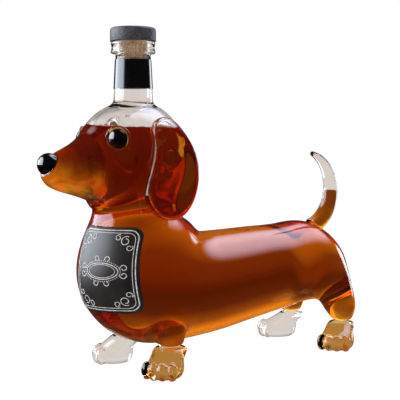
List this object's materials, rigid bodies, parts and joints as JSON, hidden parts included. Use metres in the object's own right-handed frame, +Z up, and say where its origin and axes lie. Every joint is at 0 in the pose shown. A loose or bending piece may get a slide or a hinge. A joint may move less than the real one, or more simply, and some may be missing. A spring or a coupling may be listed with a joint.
{
  "type": "figural liquor decanter",
  "caption": "Figural liquor decanter shaped as a long-bodied dog: hollow glass on short legs, drooping ears, raised tail, neck rising from the head, and a cork stopper that lifts out.",
  "frame": {"origin": "on the table, under the middle of the decanter's bounding box", "axes": "+Z up; the dog faces -Y and its tail is towards +Y; the dog's left side is +X"},
  "size_m": [0.0954, 0.2568, 0.2218],
  "materials": {
    "clear_glass": "clear blown glass, polished",
    "black_glass": "opaque black glass, polished",
    "black_film": "glossy shrunk film",
    "label_paper": "satin coated paper, pale ornament",
    "cork": "fine-grained cork",
    "cap_plastic": "finely textured black",
    "amber_liquor": "clear amber liquid"
  },
  "bodies": {
    "decanter": {"glass_vessel": "clear_glass", "ear_left": "clear_glass", "ear_right": "clear_glass", "tail": "clear_glass", "paw_front_left": "clear_glass", "paw_front_right": "clear_glass", "paw_rear_left": "clear_glass", "paw_rear_right": "clear_glass", "eye_left": "black_glass", "eye_right": "black_glass", "eye_rim_left": "clear_glass", "eye_rim_right": "clear_glass", "nose": "black_glass", "neck_sleeve": "black_film", "label": "label_paper", "liquor": "amber_liquor"},
    "stopper": {"stopper_cork": "cork", "stopper_cap": "cap_plastic"}
  },
  "joints": [
    {"name": "stopper_pull", "type": "slide", "parent": "decanter", "child": "stopper", "axis": [0, 0, 1], "range_m": [0, 0.05]}
  ]
}
